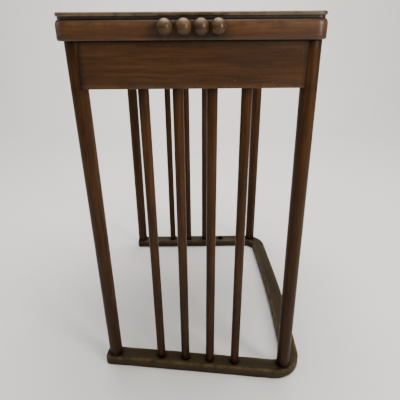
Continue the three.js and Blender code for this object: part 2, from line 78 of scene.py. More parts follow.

# Foot runner: its middle line starts from the posts
RUNNER_WIDTH = 38 * MM
RUNNER_EDGE = 4.2 * MM
RUNNER_REAR_OVERHANG = 16.5 * MM
RUNNER_FRONT_OVERHANG = 22 * MM
RUNNER_END_RADIUS = 9 * MM
RUNNER_REAR_CORNER_OUT = 23.5 * MM
RUNNER_BOW_OUT = 34.95 * MM
RUNNER_BOW_BEHIND = 255 * MM  # from the front posts back to the middle of the bow
RUNNER_BOW_RADIUS = 3000 * MM
RUNNER_FRONT_CORNER_OUT = 26.3 * MM
RUNNER_BEND_RADIUS = 43 * MM
FRONT_ARM_FORWARD_AT_RIGHT = 16.5 * MM
RUNNER_BEND_PARTS = 20
RUNNER_STEP = 5 * MM
# Distances of the first sections from a free end
RUNNER_END_STEPS = [distance * MM for distance in (0, 0.3, 1, 2, 3.2, 4.5, 6, 7.5, 9)]
RUNNER_UNEVEN_EDGE = 0.35  # share by which the worn edges vary
SECTION_CORNER_PARTS = 4
SECTION_UPRIGHT_PARTS = 3
SECTION_FLAT_PARTS = 6
SOCKET_RIM = 0.9 * MM

# Top
CORNER_RADIUS = 19 * MM
FRAME_WIDTH = 42 * MM
FRAME_INNER_RADIUS = 10 * MM
FRAME_LOWER_EDGE = 3 * MM
FRAME_INNER_EDGE = 1.5 * MM
# The frame's rounded upper edge, as (inset, drop) pairs
FRAME_SHOULDER = [(inset * MM, drop * MM) for inset, drop in (
    (0, 9), (0.08, 7.4), (0.35, 5.8), (0.8, 4.3), (1.4, 3), (2.2, 1.8), (3.2, 0.8), (4.4, 0.2), (5.8, 0),
)]
LIP_THICKNESS = 6.5 * MM
LIP_INSET = 1.7 * MM
LIP_CLEARANCE = 0.03 * MM
LIP_PARTS = 10
LIP_NOSE_SHAPE = 0.8  # depth of the nose, as a share of a half circle's
GROOVE_DEPTH = 4.5 * MM
BOARD_UNDER_RING = 60 * MM  # inset of the innermost ring underneath
BOARD_TOP_RINGS = [inset * MM for inset in (6, 12, 22, 40, 80, 140)]
OUTLINE_CORNER_PARTS = 10
BOARD_SIDE_PARTS = 14
FRAME_SIDE_PARTS = 40

# Aprons
APRON_EDGE = 1.3 * MM
APRON_LAP = 6.8 * MM
APRON_CLEARANCE = 0.6 * MM  # around the posts
POST_SIDES = (("front", "left"), ("front", "right"), ("rear", "left"), ("rear", "right"))

# Balls
BALL_SEGMENTS = 48
BALL_RINGS = 32
BALL_DOWEL_RADIUS = 3 * MM
BALL_WOBBLE = 0.012
BALL_END_SPREAD = 0.012  # the last ring's share of the ball's half width
# A paler patch on each ball's upper front: wear, and a painted highlight
BALL_RUB_AND_HIGHLIGHT = Vector((0, -7, 9)) * MM
BALL_RUB_AND_HIGHLIGHT_REACH = 11 * MM
# The painted shadow that the balls cast on the band, centred a little below each ball
BALL_SHADOW_REACH = 24 * MM
BALL_SHADOW_DROP = 4 * MM

# Ledges and corner blocks
LONG_EDGE = 12 * MM  # shorter edges stay sharp
LEDGE_EASING = 1.2 * MM
BLOCK_EASING = 1 * MM

# Screws
SCREW_RADIUS = 2 * MM
SCREW_HEAD_RADIUS = 4 * MM
SCREW_HEAD_HEIGHT = 2.4 * MM

# Wood: scales of its patterns along and across the grain, and of the marks on it
GRAIN_BEND_SCALE = 9
GRAIN_BEND = 0.012
STREAK_STRETCH = (7, 190, 190)
FIBRE_STRETCH = (40, 1300, 1300)
PATCH_STRETCH = (5, 26, 26)
FLECK_STRETCH = (260, 1700, 1700)
WAVE_STRETCH = (16, 60, 60)
SCRATCH_STRETCH = (24, 620, 620)
SCRATCH_TURNS = ((0.35, 0.2, 0.5), (-0.6, 0.4, -0.9))
SCRATCHED_AREA_SCALE = 14
RUBBED_SCALE = 55
# unevenness of the dirt and painted shade
GRIME_AND_SHADE_SCALE = 90
DULL_SCALE = 18
CHIP_SCALE = 130
WAVE_DEPTH = 0.5 * MM
FIBRE_DEPTH = 0.06 * MM
MARK_DEPTH = 0.15 * MM
COAT_ROUGHNESS = 0.22

# Stage and lights in metres and watts, and camera
STAGE_SIZE = 7.0
STAGE_PARTS = 56
BACKDROP_START = 1.7
BACKDROP_BEND = 0.9
WORLD_COLOUR = (0.95, 0.97, 1.0, 1.0)
WORLD_STRENGTH = 0.28
LIGHTS = (  # name, place, target, size, power and tint
    ("window_right", (1.5, -1.6, 1.3), (0, 0, 0.45), (0.6, 1.1), 34, (1.0, 0.98, 0.95)),
    ("window_left", (-2.4, -0.3, 1.4), (0, 0, 0.4), (1.0, 1.4), 8, (0.92, 0.96, 1.0)),
    ("soft_above", (0.1, 0.2, 2.7), (0, 0.1, 0.0), (2.0, 2.0), 95, (1, 1, 1)),
    ("backdrop_wash", (0.0, 1.0, 2.6), (0, 2.6, 1.0), (3.0, 0.6), 45, (1, 1, 1)),
)
CAMERA_PLACE = Vector((-11.27, -961.6, 745.0)) * MM
CAMERA_PITCH = math.radians(24.36)
CAMERA_ROLL = math.radians(-0.40)
CAMERA_YAW = math.radians(0.52)
CAMERA_LENS = 35.97
CAMERA_SENSOR = 36


# ---- Places read from the frame ----

def low(node):
    return Vector(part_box(node)[0])


def high(node):
    return Vector(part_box(node)[1])


def middle(node):
    return (low(node) + high(node)) / 2


def size_of(node):
    return high(node) - low(node)


def plan(place):
    return Vector((place.x, place.y))


def numbered(name, count):
    return [f"{name}_{number}" for number in range(1, count + 1)]


def axis_of(node):
    """The middles of the lowest and the highest ring of a turned CAD node."""
    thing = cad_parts[node]
    points = [thing.matrix_world @ vertex.co for vertex in thing.data.vertices]
    ends = []
    for limit, sign in ((low(node).z, 1), (high(node).z, -1)):
        ring = [p for p in points if sign * (p.z - limit) < MM]
        ends.append(sum(ring, Vector()) / len(ring))
    return ends


def point_on(axis, height):
    foot, head = axis
    return foot.lerp(head, (height - foot.z) / (head.z - foot.z))


RUNNER_TOP = high("base_runner").z
FRAME_BOTTOM = low("top_frame").z
FRAME_TOP = high("top_frame").z
APRON_BOTTOM = low("front_apron").z
APRON_TOP = high("front_apron").z
TOP_LOW = low("top_board")
TOP_HIGH = high("top_board")
FRAME_LOW = low("top_frame")
FRAME_HIGH = high("top_frame")
POSTS = {f"post_{end}_{side}": axis_of(f"post_{end}_{side}") for end, side in POST_SIDES}
REAR_SLATS = numbered("rear_slat", 3)
SLATS = {name: axis_of(name) for name in numbered("front_slat", 4) + REAR_SLATS}
BALLS = numbered("ball", 4)
BALL_MIDDLES = [middle(name) for name in BALLS]
REAR_MIDDLE = Vector(((FRAME_LOW.x + FRAME_HIGH.x) / 2, FRAME_HIGH.y))


def empty_socket_axis():
    """Where the missing fourth rear slat stood: one spacing beyond the third."""
    last, before = SLATS[REAR_SLATS[-1]], SLATS[REAR_SLATS[-2]]
    return [end + Vector((end.x - other.x, 0, 0)) for end, other in zip(last, before)]


EMPTY_SOCKET = empty_socket_axis()
FEET = [(axis, SLAT_RADIUS) for axis in SLATS.values()]
FEET += [(axis, POST_RADIUS) for axis in POSTS.values()]
FEET += [(EMPTY_SOCKET, SLAT_RADIUS)]


# ---- Mesh tools ----

def new_object(name, vertices, faces):
    mesh = bpy.data.meshes.new(name)
    mesh.from_pydata([tuple(v) for v in vertices], [], faces)
    mesh.validate()
    piece = bpy.data.objects.new(name, mesh)
    bpy.context.scene.collection.objects.link(piece)
    make_outward(mesh)
    return piece


def make_outward(mesh):
    editable = bmesh.new()
    editable.from_mesh(mesh)
    bmesh.ops.remove_doubles(editable, verts=editable.verts, dist=JOINED)
    bmesh.ops.recalc_face_normals(editable, faces=editable.faces)
    editable.to_mesh(mesh)
    editable.free()


def sweep(name, rings, closed=False):
    """Joins rings of equal length one after another; a closed sweep returns to its first ring."""
    count = len(rings[0])
    total = count * len(rings)
    vertices = [point for ring in rings for point in ring]
    faces = []
    for start in range(0, total if closed else total - count, count):
        above = (start + count) % total
        for index in range(count):
            after = (index + 1) % count
            faces.append((start + index, start + after, above + after, above + index))
    if not closed:
        faces += [tuple(range(count)), tuple(range(total - count, total))]
    return new_object(name, vertices, faces)


def circle(radius, count=TURNED_SEGMENTS):
    turn = 2 * math.pi / count
    return [Vector((math.cos(turn * i), math.sin(turn * i), 0)) * radius for i in range(count)]


def split_long_steps(levels, step):
    """Adds levels between (height, radius) pairs that are further apart than a step."""
    result = [levels[0]]
    for (z0, r0), (z1, r1) in zip(levels, levels[1:]):
        parts = max(1, round((z1 - z0) / step))
        for part in range(1, parts + 1):
            share = part / parts
            result.append((z0 + (z1 - z0) * share, r0 + (r1 - r0) * share))
    return result


def turned(name, axis, levels):
    """A turned rod on a line, with the slight unevenness of a hand-finished one."""
    rings = []
    for height, radius in split_long_steps(levels, TURNED_STEP):
        ring = []
        for point in circle(1):
            sample = Vector((point.x * 0.8, point.y * 0.8, height * 14)) + axis[0] * 50
            uneven = radius + TURNED_WOBBLE * (noise.noise(sample) - 0.5)
            ring.append(point_on(axis, height) + point * uneven)
        rings.append(ring)
    return sweep(name, rings)


def grid_faces(rows, columns, base=0):
    """The faces between neighbouring points of a grid, whose first point has the base number."""
    faces = []
    for row in range(rows - 1):
        for column in range(columns - 1):
            at = base + row * columns + column
            faces.append((at, at + 1, at + columns + 1, at + columns))
    return faces


def edge_steps(start, end, rounding):
    """Coordinates along one side of a board, close together at both rounded edges."""
    bulge = rounding * EDGE_BULGE
    near = [start, start + bulge, start + rounding]
    far = [end - rounding, end - bulge, end]
    parts = max(1, round((far[0] - near[-1]) / BOARD_STEP))
    between = [near[-1] + (far[0] - near[-1]) * i / parts for i in range(1, parts)]
    return near + between + far


def board(name, corner, opposite, rounding):
    """A board with rounded edges, closely divided so that its colour can follow its edges."""
    lattice = [edge_steps(corner[i], opposite[i], rounding) for i in range(3)]
    vertices, faces = [], []
    for axis in range(3):
        first, second = [i for i in range(3) if i != axis]
        for place in (lattice[axis][0], lattice[axis][-1]):
            base = len(vertices)
            for a in lattice[first]:
                for b in lattice[second]:
                    point = Vector()
                    point[axis], point[first], point[second] = place, a, b
                    vertices.append(rounded_point(point, corner, opposite, rounding))
            faces += grid_faces(len(lattice[first]), len(lattice[second]), base)
    return new_object(name, vertices, faces)


def rounded_point(point, corner, opposite, rounding):
    inner = Vector(
        min(max(point[i], corner[i] + rounding), opposite[i] - rounding) for i in range(3)
    )
    outward = point - inner
    return inner + outward.normalized() * rounding if outward.length > 0 else point


def carve(piece, cutters):
    """Cuts each cutter out of the piece, applies the cuts and drops the cutters."""
    for cutter in cutters:
        cut = piece.modifiers.new("cut", "BOOLEAN")
        cut.operation = "DIFFERENCE"
        cut.solver = "EXACT"
        cut.object = cutter
    graph = bpy.context.evaluated_depsgraph_get()
    carved = bpy.data.meshes.new_from_object(piece.evaluated_get(graph))
    piece.modifiers.clear()
    piece.data = carved
    for cutter in cutters:
        bpy.data.objects.remove(cutter)


def paint(piece, name, kind, value_at):
    """Stores a value on every vertex, from the vertex's place."""
    layer = piece.data.attributes.new(name, kind, "POINT")
    field = "vector" if kind == "FLOAT_VECTOR" else "value"
    for vertex, entry in zip(piece.data.vertices, layer.data):
        setattr(entry, field, value_at(vertex.co))


def finish_piece(piece, nodes, material, grain, wear_and_sheen=None, dirt_and_shade=None):
    """Colour data, material and the frame's bookkeeping for one finished piece."""
    piece.data.shade_smooth()
    piece.data.set_sharp_from_angle(angle=SMOOTH_ANGLE)
    paint(piece, "grain", "FLOAT_VECTOR", grain)
    # these layers carry wear with painted highlights and sheen, and dirt with painted shade
    paint(piece, "wear_and_sheen", "FLOAT", wear_and_sheen or (lambda place: 0.0))
    paint(piece, "dirt_and_shade", "FLOAT", dirt_and_shade or (lambda place: 0.0))
    piece.data.materials.clear()
    piece.data.materials.append(material)
    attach(piece, "root")
    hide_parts(*nodes)


def along_x(shift):
    """Grain that runs along X; the shift gives each piece its own pattern."""
    return lambda place: place.xyz + shift


def along_y(shift):
    return lambda place: place.yxz + shift


def along_z(shift):
    return lambda place: place.zxy + shift


def own_shift(number):
    return Vector((0.731, 0.417, 0.253)) * number


def fade(distance, reach):
    """One at no distance, falling to nothing at the reach."""
    return max(0.0, 1.0 - abs(distance) / reach)


# ---- Outlines and lines in plan ----

def rounded_corner(before, corner, after, radius, parts):
    """The points of the arc that rounds one corner of a line."""
    back = (before - corner).normalized()
    ahead = (after - corner).normalized()
    half = math.acos(back.dot(ahead)) / 2
    centre = corner + (back + ahead).normalized() * radius / math.sin(half)
    start = corner + back * radius / math.tan(half) - centre
    end = corner + ahead * radius / math.tan(half) - centre
    turn = start.angle_signed(end)
    points = []
    for part in range(parts + 1):
        points.append(centre + Matrix.Rotation(-turn * part / parts, 2) @ start)
    return points


def rounded_rectangle(corner, opposite, radius):
    """Outline points, the same number of them on each corner whatever the radius."""
    corners = [
        Vector((corner.x, corner.y)), Vector((opposite.x, corner.y)),
        Vector((opposite.x, opposite.y)), Vector((corner.x, opposite.y)),
    ]
    outline = []
    for index, point in enumerate(corners):
        before = corners[index - 1]
        after = corners[(index + 1) % 4]
        outline += rounded_corner(before, point, after, radius, OUTLINE_CORNER_PARTS)
    return outline


def board_outline(inset):
    """The top board's outline moved inwards, with divided straight sides."""
    shift = Vector((inset, inset, 0))
    radius = max(CORNER_RADIUS - LIP_INSET - inset, MM)
    points = rounded_rectangle(TOP_LOW + shift, TOP_HIGH - shift, radius)
    return divide_sides(points, BOARD_SIDE_PARTS)


def divide_sides(points, sides):
    """Adds points between the corners, so that each side has the given number of parts."""
    per_corner = OUTLINE_CORNER_PARTS + 1
    outline = []
    for index, point in enumerate(points):
        outline.append(point)
        if index % per_corner == per_corner - 1:
            following = points[(index + 1) % len(points)]
            outline += [point.lerp(following, part / sides) for part in range(1, sides)]
    return outline


# ---- Cutters ----

def turned_between(start, direction, profile, count=28):
    """A closed turned shape from (distance, radius) pairs along any direction."""
    turn = direction.to_track_quat("Z", "Y").to_matrix()
    rings = []
    for distance, radius in profile:
        centre = start + direction * distance
        rings.append([centre + turn @ point for point in circle(radius, count)])
    return sweep("cutter", rings)


def straight_hole(start, direction, first, last, radius, count=28):
    """A cylinder between two distances from a point, along a direction."""
    return turned_between(start, direction, [(first, radius), (last, radius)], count)


def screw_hole(node, direction, open_at_head):
    """The clearance hole of one screw, open at its head for the given distance."""
    length = abs(direction.dot(size_of(node)))
    start = middle(node) - direction * length / 2
    profile = [
        (-open_at_head, SCREW_HEAD_RADIUS + GAP),
        (GAP, SCREW_HEAD_RADIUS + GAP),
        (SCREW_HEAD_HEIGHT + GAP, SCREW_RADIUS + GAP),
        (length + GAP, SCREW_RADIUS + GAP),
    ]
    return turned_between(start, direction, profile)


def post_space(axis, radius):
    """A cylinder around a post, longer than the post at both ends."""
    foot, head = axis
    span = head - foot
    return straight_hole(
        foot, span.normalized(), -THROUGH, span.length + THROUGH, radius, TURNED_SEGMENTS,
    )


# ---- Posts and slats ----

def post_profile(name):
    """(height, radius) pairs: a tenon at each end and a body with eased edges between them."""
    bottom = RUNNER_TOP + GAP
    top = FRAME_BOTTOM - GAP
    return [
        (low(name).z, POST_TENON_RADIUS),
        (bottom - SHOULDER, POST_TENON_RADIUS),
        (bottom, POST_FOOT_RADIUS - POST_EDGE),
        (bottom + POST_EDGE * 0.3, POST_FOOT_RADIUS - POST_EDGE * 0.3),
        (bottom + POST_EDGE, POST_FOOT_RADIUS),
        (top - POST_EDGE, POST_RADIUS),
        (top, POST_RADIUS - POST_EDGE * 0.5),
        (top + SHOULDER, POST_TENON_RADIUS),
        (high(name).z, POST_TENON_RADIUS),
    ]


def foot_joint_and_shade(place, reach):
    """Dark in the joint with the runner, and a painted shade that fades upwards from it."""
    above = place.z - RUNNER_TOP
    return 0.9 * fade(above, reach) + 0.6 * fade(above, FOOT_SHADE_HEIGHT)


def post_dirt_and_shade(place):
    """Dark in the joints at the foot and around the aprons, with a painted shade just under the band and
    rising from the feet.
    """
    under = 0.35 * fade(place.z - APRON_BOTTOM, 14 * MM)
    # painted shade just under the band
    over = 0.8 * fade(place.z - APRON_TOP, 7 * MM)
    return min(1.0, foot_joint_and_shade(place, 16 * MM) + under + over)


def build_posts(material):
    for index, (name, axis) in enumerate(POSTS.items()):
        post = turned(name + "_turned", axis, post_profile(name))
        finish_piece(post, [name], material, along_z(own_shift(index)), dirt_and_shade=post_dirt_and_shade)


def slat_profile(name):
    """(height, radius) pairs: a tapered foot in the runner and a thin tenon in the apron."""
    top = APRON_BOTTOM - GAP
    foot = low(name).z
    return [
        (foot, SLAT_TIP_RADIUS - SLAT_TIP_EDGE),
        (foot + SLAT_TIP_EDGE, SLAT_TIP_RADIUS),
        (foot + SLAT_TAPER_LENGTH * 0.55, SLAT_TIP_RADIUS * 0.4 + SLAT_RADIUS * 0.6),
        (foot + SLAT_TAPER_LENGTH, SLAT_RADIUS - 0.1 * MM),
        (foot + SLAT_TAPER_LENGTH * 1.4, SLAT_RADIUS),
        (top, SLAT_RADIUS),
        (top + SHOULDER, SLAT_TENON_RADIUS),
        (high(name).z, SLAT_TENON_RADIUS),
    ]


# Dark at the foot joint and just under the apron, with the painted shade rising from the feet
def slat_dirt_and_shade(place):
    return min(1.0, foot_joint_and_shade(place, 14 * MM) + 0.8 * fade(place.z - APRON_BOTTOM, 16 * MM))


def build_slats(material):
    for index, (name, axis) in enumerate(SLATS.items()):
        slat = turned(name + "_turned", axis, slat_profile(name))
        grain = along_z(own_shift(index + 7))
        finish_piece(slat, [name], material, grain, dirt_and_shade=slat_dirt_and_shade)


# ---- Foot runner ----

def runner_line():
    """The runner's middle line in plan, with its two bends and its bow as arcs."""
    left = point_on(POSTS["post_front_left"], RUNNER_TOP)
    right = point_on(POSTS["post_front_right"], FRAME_BOTTOM)
    rear = POSTS["post_rear_left"][0].y
    slope = (right.y - FRONT_ARM_FORWARD_AT_RIGHT - left.y) / (right.x - left.x)

    def front_arm(x):
        return Vector((x, left.y + slope * (x - left.x)))

    start = Vector((left.x - RUNNER_REAR_OVERHANG, rear))
    rear_corner = Vector((right.x + RUNNER_REAR_CORNER_OUT, rear))
    bow = Vector((right.x + RUNNER_BOW_OUT, right.y + RUNNER_BOW_BEHIND))
    front_corner = front_arm(right.x + RUNNER_FRONT_CORNER_OUT)
    finish = front_arm(left.x - RUNNER_FRONT_OVERHANG)
    bend, parts = RUNNER_BEND_RADIUS, RUNNER_BEND_PARTS
    line = [start]
    line += rounded_corner(start, rear_corner, bow, bend, parts)
    line += rounded_corner(rear_corner, bow, front_corner, RUNNER_BOW_RADIUS, parts)
    line += rounded_corner(bow, front_corner, finish, bend, parts)
    return line + [finish]


def line_lengths(line):
    lengths = [0.0]
    for start, end in zip(line, line[1:]):
        lengths.append(lengths[-1] + (end - start).length)
    return lengths


def place_along(line, lengths, distance):
    """The point at a distance along a line, and its direction there."""
    for index in range(len(line) - 1):
        if distance <= lengths[index + 1] or index == len(line) - 2:
            part = line[index + 1] - line[index]
            share = (distance - lengths[index]) / part.length
            return line[index] + part * share, part.normalized()


def nearest_on_line(line, lengths, place):
    """How far along a line a place is, and how far to the side of it."""
    best = None
    for index in range(len(line) - 1):
        part = line[index + 1] - line[index]
        share = max(0.0, min(1.0, (place - line[index]).dot(part) / part.length_squared))
        away = place - (line[index] + part * share)
        if best is None or away.length < best[0]:
            side = 1 if part.cross(away) > 0 else -1
            best = (away.length, lengths[index] + part.length * share, side)
    return best[1], best[0] * best[2]


def quarter_drop(distance, radius):
    """How far a quarter circle falls back from its straight side near its end."""
    return radius - math.sqrt(max(0.0, radius ** 2 - (radius - min(distance, radius)) ** 2))


def section(half_width, half_height, rounding):
    """A rounded rectangle as (sideways, upwards) points, always the same number of them."""
    corners = ((1, -1, -90), (1, 1, 0), (-1, 1, 90), (-1, -1, 180))
    straight = (SECTION_UPRIGHT_PARTS, SECTION_FLAT_PARTS) * 2
    arcs = []
    for side, rise, first_angle in corners:
        centre = Vector((side * (half_width - rounding), rise * (half_height - rounding)))
        arc = []
        for part in range(SECTION_CORNER_PARTS + 1):
            angle = math.radians(first_angle + 90 * part / SECTION_CORNER_PARTS)
            arc.append(centre + rounding * Vector((math.cos(angle), math.sin(angle))))
        arcs.append(arc)
    points = []
    for index, arc in enumerate(arcs):
        following = arcs[(index + 1) % 4][0]
        parts = straight[index]
        points += arc + [arc[-1].lerp(following, part / parts) for part in range(1, parts)]
    return points


RUNNER_LINE = runner_line()
RUNNER_LENGTHS = line_lengths(RUNNER_LINE)


def runner_stations():
    """Distances along the runner, close together at both rounded ends."""
    length = RUNNER_LENGTHS[-1]
    near = RUNNER_END_STEPS
    inner_length = length - 2 * near[-1]
    parts = round(inner_length / RUNNER_STEP)
    between = [near[-1] + inner_length * part / parts for part in range(1, parts)]
    return near + between + [length - distance for distance in reversed(near)]


def runner_ring(distance):
    length = RUNNER_LENGTHS[-1]
    from_end = min(distance, length - distance)
    worn = RUNNER_EDGE * (1 + RUNNER_UNEVEN_EDGE * noise.noise(Vector((distance * 22, 0, 0))))
    half_width = RUNNER_WIDTH / 2 - quarter_drop(from_end, RUNNER_END_RADIUS)
    half_height = RUNNER_TOP / 2 - quarter_drop(from_end, worn)
    centre, direction = place_along(RUNNER_LINE, RUNNER_LENGTHS, distance)
    side = Vector((direction.y, -direction.x))
    ring = []
    for sideways, upwards in section(half_width, half_height, min(worn, half_height * 0.9)):
        flat = centre + side * sideways
        ring.append(Vector((flat.x, flat.y, RUNNER_TOP / 2 + upwards)))
    return ring


def socket_cutter(axis):
    """The tapered socket of a slat's foot, a little wider at its rim."""
    foot, head = axis
    profile = [
        (-GAP, SLAT_TIP_RADIUS + GAP),
        (RUNNER_TOP - foot.z - SOCKET_RIM, SLAT_RADIUS - 0.3 * MM),
        (RUNNER_TOP - foot.z + 0.4 * MM, SLAT_RADIUS + 0.7 * MM),
        (THROUGH * 2, SLAT_RADIUS + 1.2 * MM),
    ]
    return turned_between(foot, (head - foot).normalized(), profile, 40)


def runner_dirt_and_shade(place):
    """Dark around every foot and in the empty socket, and a painted shade towards the floor."""
    # painted shade towards the floor
    dirt_and_shade = 0.55 * fade(place.z, 15 * MM)
    for axis, radius in FEET:
        away = plan(place - point_on(axis, RUNNER_TOP)).length - radius
        dirt_and_shade = max(dirt_and_shade, 0.95 * fade(max(away, 0.0), 7 * MM))
    return dirt_and_shade


def runner_wear_and_sheen(place):
    """Wear and a painted sheen, strongest along the upper edges."""
    sideways = nearest_on_line(RUNNER_LINE, RUNNER_LENGTHS, plan(place))[1]
    to_side = RUNNER_WIDTH / 2 - abs(sideways)
    to_top = RUNNER_TOP - place.z
    return fade(to_side + to_top, 7 * MM) * fade(to_top, 10 * MM)


def grain_along(line, lengths):
    """Grain that follows a line in plan."""
    return lambda place: Vector((*nearest_on_line(line, lengths, plan(place)), place.z))


def build_runner(material):
    rings = [runner_ring(distance) for distance in runner_stations()]
    runner = sweep("base_runner_bent", rings)
    cutters = [socket_cutter(axis) for axis in [*SLATS.values(), EMPTY_SOCKET]]
    for foot, head in POSTS.values():
        up = (head - foot).normalized()
        cutters.append(straight_hole(foot, up, -2 * GAP, THROUGH, POST_TENON_RADIUS + GAP))
    cutters += [screw_hole(name, UP, 2 * MM) for name in numbered("post_screw", 4)]
    carve(runner, cutters)
    finish_piece(
        runner, ["base_runner"], material,
        grain_along(RUNNER_LINE, RUNNER_LENGTHS), wear_and_sheen=runner_wear_and_sheen, dirt_and_shade=runner_dirt_and_shade,
    )


# ---- Aprons ----

def apron_body(name, along):
    """The CAD apron's box without the tenons that reach into the posts."""
    corner, opposite = low(name), high(name)
    first = POSTS["post_front_left"][1] if along == 0 else POSTS["post_front_right"][1]
    last = POSTS["post_front_right"][1] if along == 0 else POSTS["post_rear_right"][1]
    corner[along] = first[along] + APRON_LAP
    opposite[along] = last[along] - APRON_LAP
    return corner, opposite


def apron_shade(ends, along):
    """Painted shade where an apron meets the posts and along the frame above it."""
    def value(place):
        at_ends = max(fade(place[along] - end, 9 * MM) for end in ends)
        return min(1.0, 0.9 * at_ends + 0.75 * fade(place.z - APRON_TOP, 9 * MM))
    return value


def apron_wear(place):
    """Rubbed along the lower edge."""
    return fade(place.z - APRON_BOTTOM, 4 * MM)


def build_apron(name, along, material, shift):
    corner, opposite = apron_body(name, along)
    apron = board(name + "_board", corner, opposite, APRON_EDGE)
    cutters = [post_space(axis, POST_RADIUS + APRON_CLEARANCE) for axis in POSTS.values()]
    end = name.split("_")[0]
    if along == 0:
        slats = [SLATS[slat] for slat in SLATS if slat.startswith(end)]
        slats += [EMPTY_SOCKET] if end == "rear" else []
        for foot, head in slats:
            up = (head - foot).normalized()
            cutters.append(straight_hole(head, up, -2 * THROUGH, GAP, SLAT_TENON_RADIUS + GAP))
        outwards = FORWARD if end == "front" else BACKWARD
        cutters += [screw_hole(screw, outwards, 0) for screw in numbered(f"{end}_ledge_screw", 3)]
    carve(apron, cutters)
    ends = (corner[along], opposite[along])
    grain = along_x(shift) if along == 0 else along_y(shift)
    finish_piece(
        apron, [name], material, grain,
        wear_and_sheen=apron_wear, dirt_and_shade=apron_shade(ends, along),
    )


# ---- Top frame and top board ----

def frame_outline(inset):
    """The frame's outline moved inwards; the inner hole has corners of its own."""
    shift = Vector((inset, inset, 0))
    from_outside = CORNER_RADIUS - inset
    from_inside = FRAME_INNER_RADIUS + FRAME_WIDTH - inset
    radius = from_outside if inset < FRAME_WIDTH / 2 else from_inside
    points = rounded_rectangle(FRAME_LOW + shift, FRAME_HIGH - shift, max(radius, MM))
    return divide_sides(points, FRAME_SIDE_PARTS)


def frame_profile():
    """(inset, height) pairs around the frame's section, starting inside at the bottom."""
    lower, inner = FRAME_LOWER_EDGE, FRAME_INNER_EDGE
    bottom, top = FRAME_BOTTOM, FRAME_TOP
    shoulder = [(inset, top - drop) for inset, drop in FRAME_SHOULDER]
    return [
        (FRAME_WIDTH - inner, bottom),
        (FRAME_WIDTH * 0.5, bottom),
        (lower, bottom),
        (lower * 0.5, bottom + lower * 0.134),
        (lower * 0.134, bottom + lower * 0.5),
        (0, bottom + lower),
        (0, bottom * 0.7 + top * 0.3),
        *shoulder,
        (FRAME_WIDTH * 0.5, top),
        (FRAME_WIDTH - inner, top),
        (FRAME_WIDTH, top - inner),
        (FRAME_WIDTH, (bottom + top) / 2),
        (FRAME_WIDTH, bottom + inner),
    ]


def band_grain():
    """Grain that follows the band around; it starts and ends at the middle of the rear."""
    outline = frame_outline(0)
    start = min(range(len(outline)), key=lambda i: (outline[i] - REAR_MIDDLE).length)
    line = outline[start:] + outline[:start + 1]
    simple = drop_straight_points(line)
    return grain_along(simple, line_lengths(simple))


def drop_straight_points(line):
    """Leaves out the points in the middle of straight runs."""
    kept = [line[0]]
    for before, point, after in zip(line, line[1:], line[2:]):
        if (point - before).normalized().cross((after - point).normalized()) ** 2 > 1e-8:
            kept.append(point)
    return kept + [line[-1]]


def frame_dirt_and_shade(place):
    """Dark along the band's lower edge, painted shade along its upper edge under the lip, and a painted
    shadow around and below the balls.
    """
    edges = 0.7 * fade(place.z - FRAME_BOTTOM, 4 * MM) + 0.9 * fade(place.z - FRAME_TOP, 2.5 * MM)
    if place.y > BALL_MIDDLES[0].y + BALL_SHADOW_REACH:
        return min(1.0, edges)
    near = min(
        math.hypot(place.x - ball.x, place.z - ball.z + BALL_SHADOW_DROP) for ball in BALL_MIDDLES
    )
    return min(1.0, edges + 1.3 * fade(near, BALL_SHADOW_REACH))


def frame_highlight_line(place):
    """A painted highlight line where the rounded shoulder meets the face."""
    return fade(place.z - (FRAME_TOP - 6 * MM), 5 * MM)


def build_top_frame(material):
    rings = []
    for inset, height in frame_profile():
        rings.append([Vector((p.x, p.y, height)) for p in frame_outline(inset)])
    band = sweep("top_frame_bent", rings, closed=True)
    cutters = []
    for foot, head in POSTS.values():
        down = (foot - head).normalized()
        cutters.append(straight_hole(head, down, -GAP, THROUGH, POST_TENON_RADIUS + GAP))
    cutters += [screw_hole(name, UP, THROUGH) for name in numbered("top_screw", 8)]
    cutters += [screw_hole(name, UP, 0) for name in numbered("block_screw", 4)]
    cutters += [dowel_hole(name) for name in numbered("ball_dowel", 4)]
    carve(band, cutters)
    finish_piece(
        band, ["top_frame"], material, band_grain(),
        wear_and_sheen=frame_highlight_line, dirt_and_shade=frame_dirt_and_shade,
    )


def dowel_hole(name):
    length = size_of(name).y
    start = middle(name) - BACKWARD * (length / 2 + GAP)
    return straight_hole(start, BACKWARD, 0, length + 2 * GAP, BALL_DOWEL_RADIUS + GAP)


def lip_profile():
    """(inset, height) pairs from the middle of the underside to the middle of the top."""
    bottom = FRAME_TOP + LIP_CLEARANCE
    under = TOP_HIGH.z - LIP_THICKNESS
    nose = LIP_THICKNESS / 2
    centre = TOP_HIGH.z - nose
    groove = GROOVE_DEPTH - LIP_INSET
    pairs = [
        (groove + BOARD_UNDER_RING, bottom),
        (groove + 0.5 * MM, bottom),
        (groove, bottom + 0.5 * MM),
        (groove, under - 0.4 * MM),
        (groove - 0.4 * MM, under),
    ]
    for part in range(LIP_PARTS + 1):
        angle = math.radians(-90 + 180 * part / LIP_PARTS)
        inset = nose * LIP_NOSE_SHAPE * (1 - math.cos(angle))
        pairs.append((inset, centre + nose * math.sin(angle)))
    return pairs + [(inset, TOP_HIGH.z) for inset in BOARD_TOP_RINGS]


def lip_wear_and_sheen(place):
    """Rubbed along the nose of the lip, with a painted sheen there too."""
    to_edge = min(
        place.x - TOP_LOW.x, TOP_HIGH.x - place.x, place.y - TOP_LOW.y, TOP_HIGH.y - place.y,
    )
    return fade(to_edge, 5 * MM) * 0.9


def groove_shade(place):
    """Painted shade in the groove under the lip."""
    return 0.9 if place.z < TOP_HIGH.z - LIP_THICKNESS + 0.2 * MM else 0.0


